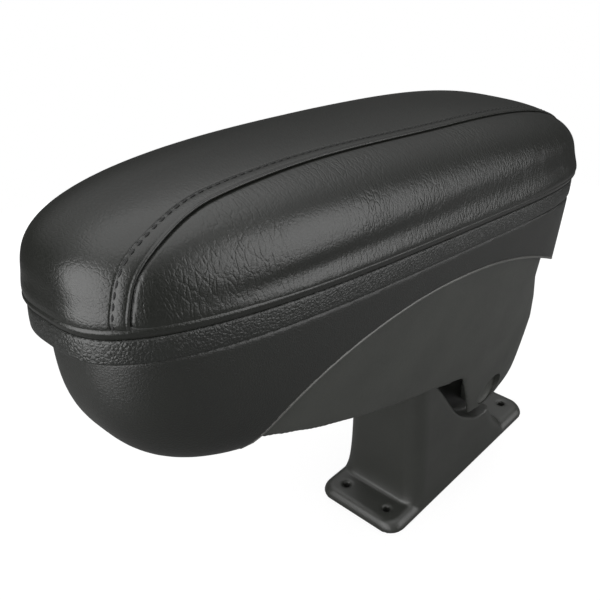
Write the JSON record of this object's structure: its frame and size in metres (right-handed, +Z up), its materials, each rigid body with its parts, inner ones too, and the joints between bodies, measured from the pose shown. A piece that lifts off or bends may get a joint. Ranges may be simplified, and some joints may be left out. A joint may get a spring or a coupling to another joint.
{
  "type": "car centre armrest",
  "caption": "Car centre armrest with a padded leatherette lid on a boat-shaped storage box, tilting on a pedestal that screws to the console.",
  "frame": {"origin": "centre of the base's four screw holes, on the underside of the base", "axes": "+X to the right side, +Y to the rear, where the arm's pivot and the lid's hinge are, +Z up"},
  "size_m": [0.112, 0.3187, 0.2562],
  "materials": {
    "pedestal_plastic": "smooth satin moulding",
    "arm_plastic": "fine matte grain",
    "box_plastic": "fine matte grain",
    "rim_plastic": "coarse leather grain",
    "cap_plastic": "smooth satin moulding",
    "bush_plastic": "plain",
    "cover_leather": "black grained leatherette",
    "cushion_foam": "open-cell foam",
    "board_wood": "pressed board",
    "black_rubber": "matte",
    "mat_rubber": "ribbed matte",
    "plain_steel": "zinc plated"
  },
  "bodies": {
    "base": {"base_pedestal": "pedestal_plastic", "pivot_sleeve": "plain_steel", "friction_washers": "bush_plastic", "rest_buffers": "black_rubber"},
    "arm": {"hinge_arm": "arm_plastic", "ear_bushes": "bush_plastic", "pivot_bolt": "plain_steel", "pivot_nut": "plain_steel", "disc_springs": "plain_steel", "pivot_cap_right": "cap_plastic", "pivot_cap_left": "cap_plastic", "storage_box": "box_plastic", "box_liner": "box_plastic", "box_mat": "mat_rubber", "box_screws": "plain_steel", "lid_hinge_pin": "plain_steel"},
    "lid": {"lid_tray": "rim_plastic", "lid_knuckles": "rim_plastic", "lid_board": "board_wood", "cushion_foam": "cushion_foam", "cushion_cover": "cover_leather", "board_screws": "plain_steel", "lid_bumpers": "black_rubber"}
  },
  "joints": [
    {"name": "arm_tilt", "type": "hinge", "parent": "base", "child": "arm", "pos_m": [0, 0.017, 0.0575], "axis": [-1, 0, 0], "range_deg": [0, 75]},
    {"name": "lid_hinge", "type": "hinge", "parent": "arm", "child": "lid", "pos_m": [0, 0.06792, 0.17911], "axis": [-1, 0, 0], "range_deg": [0, 90]}
  ]
}
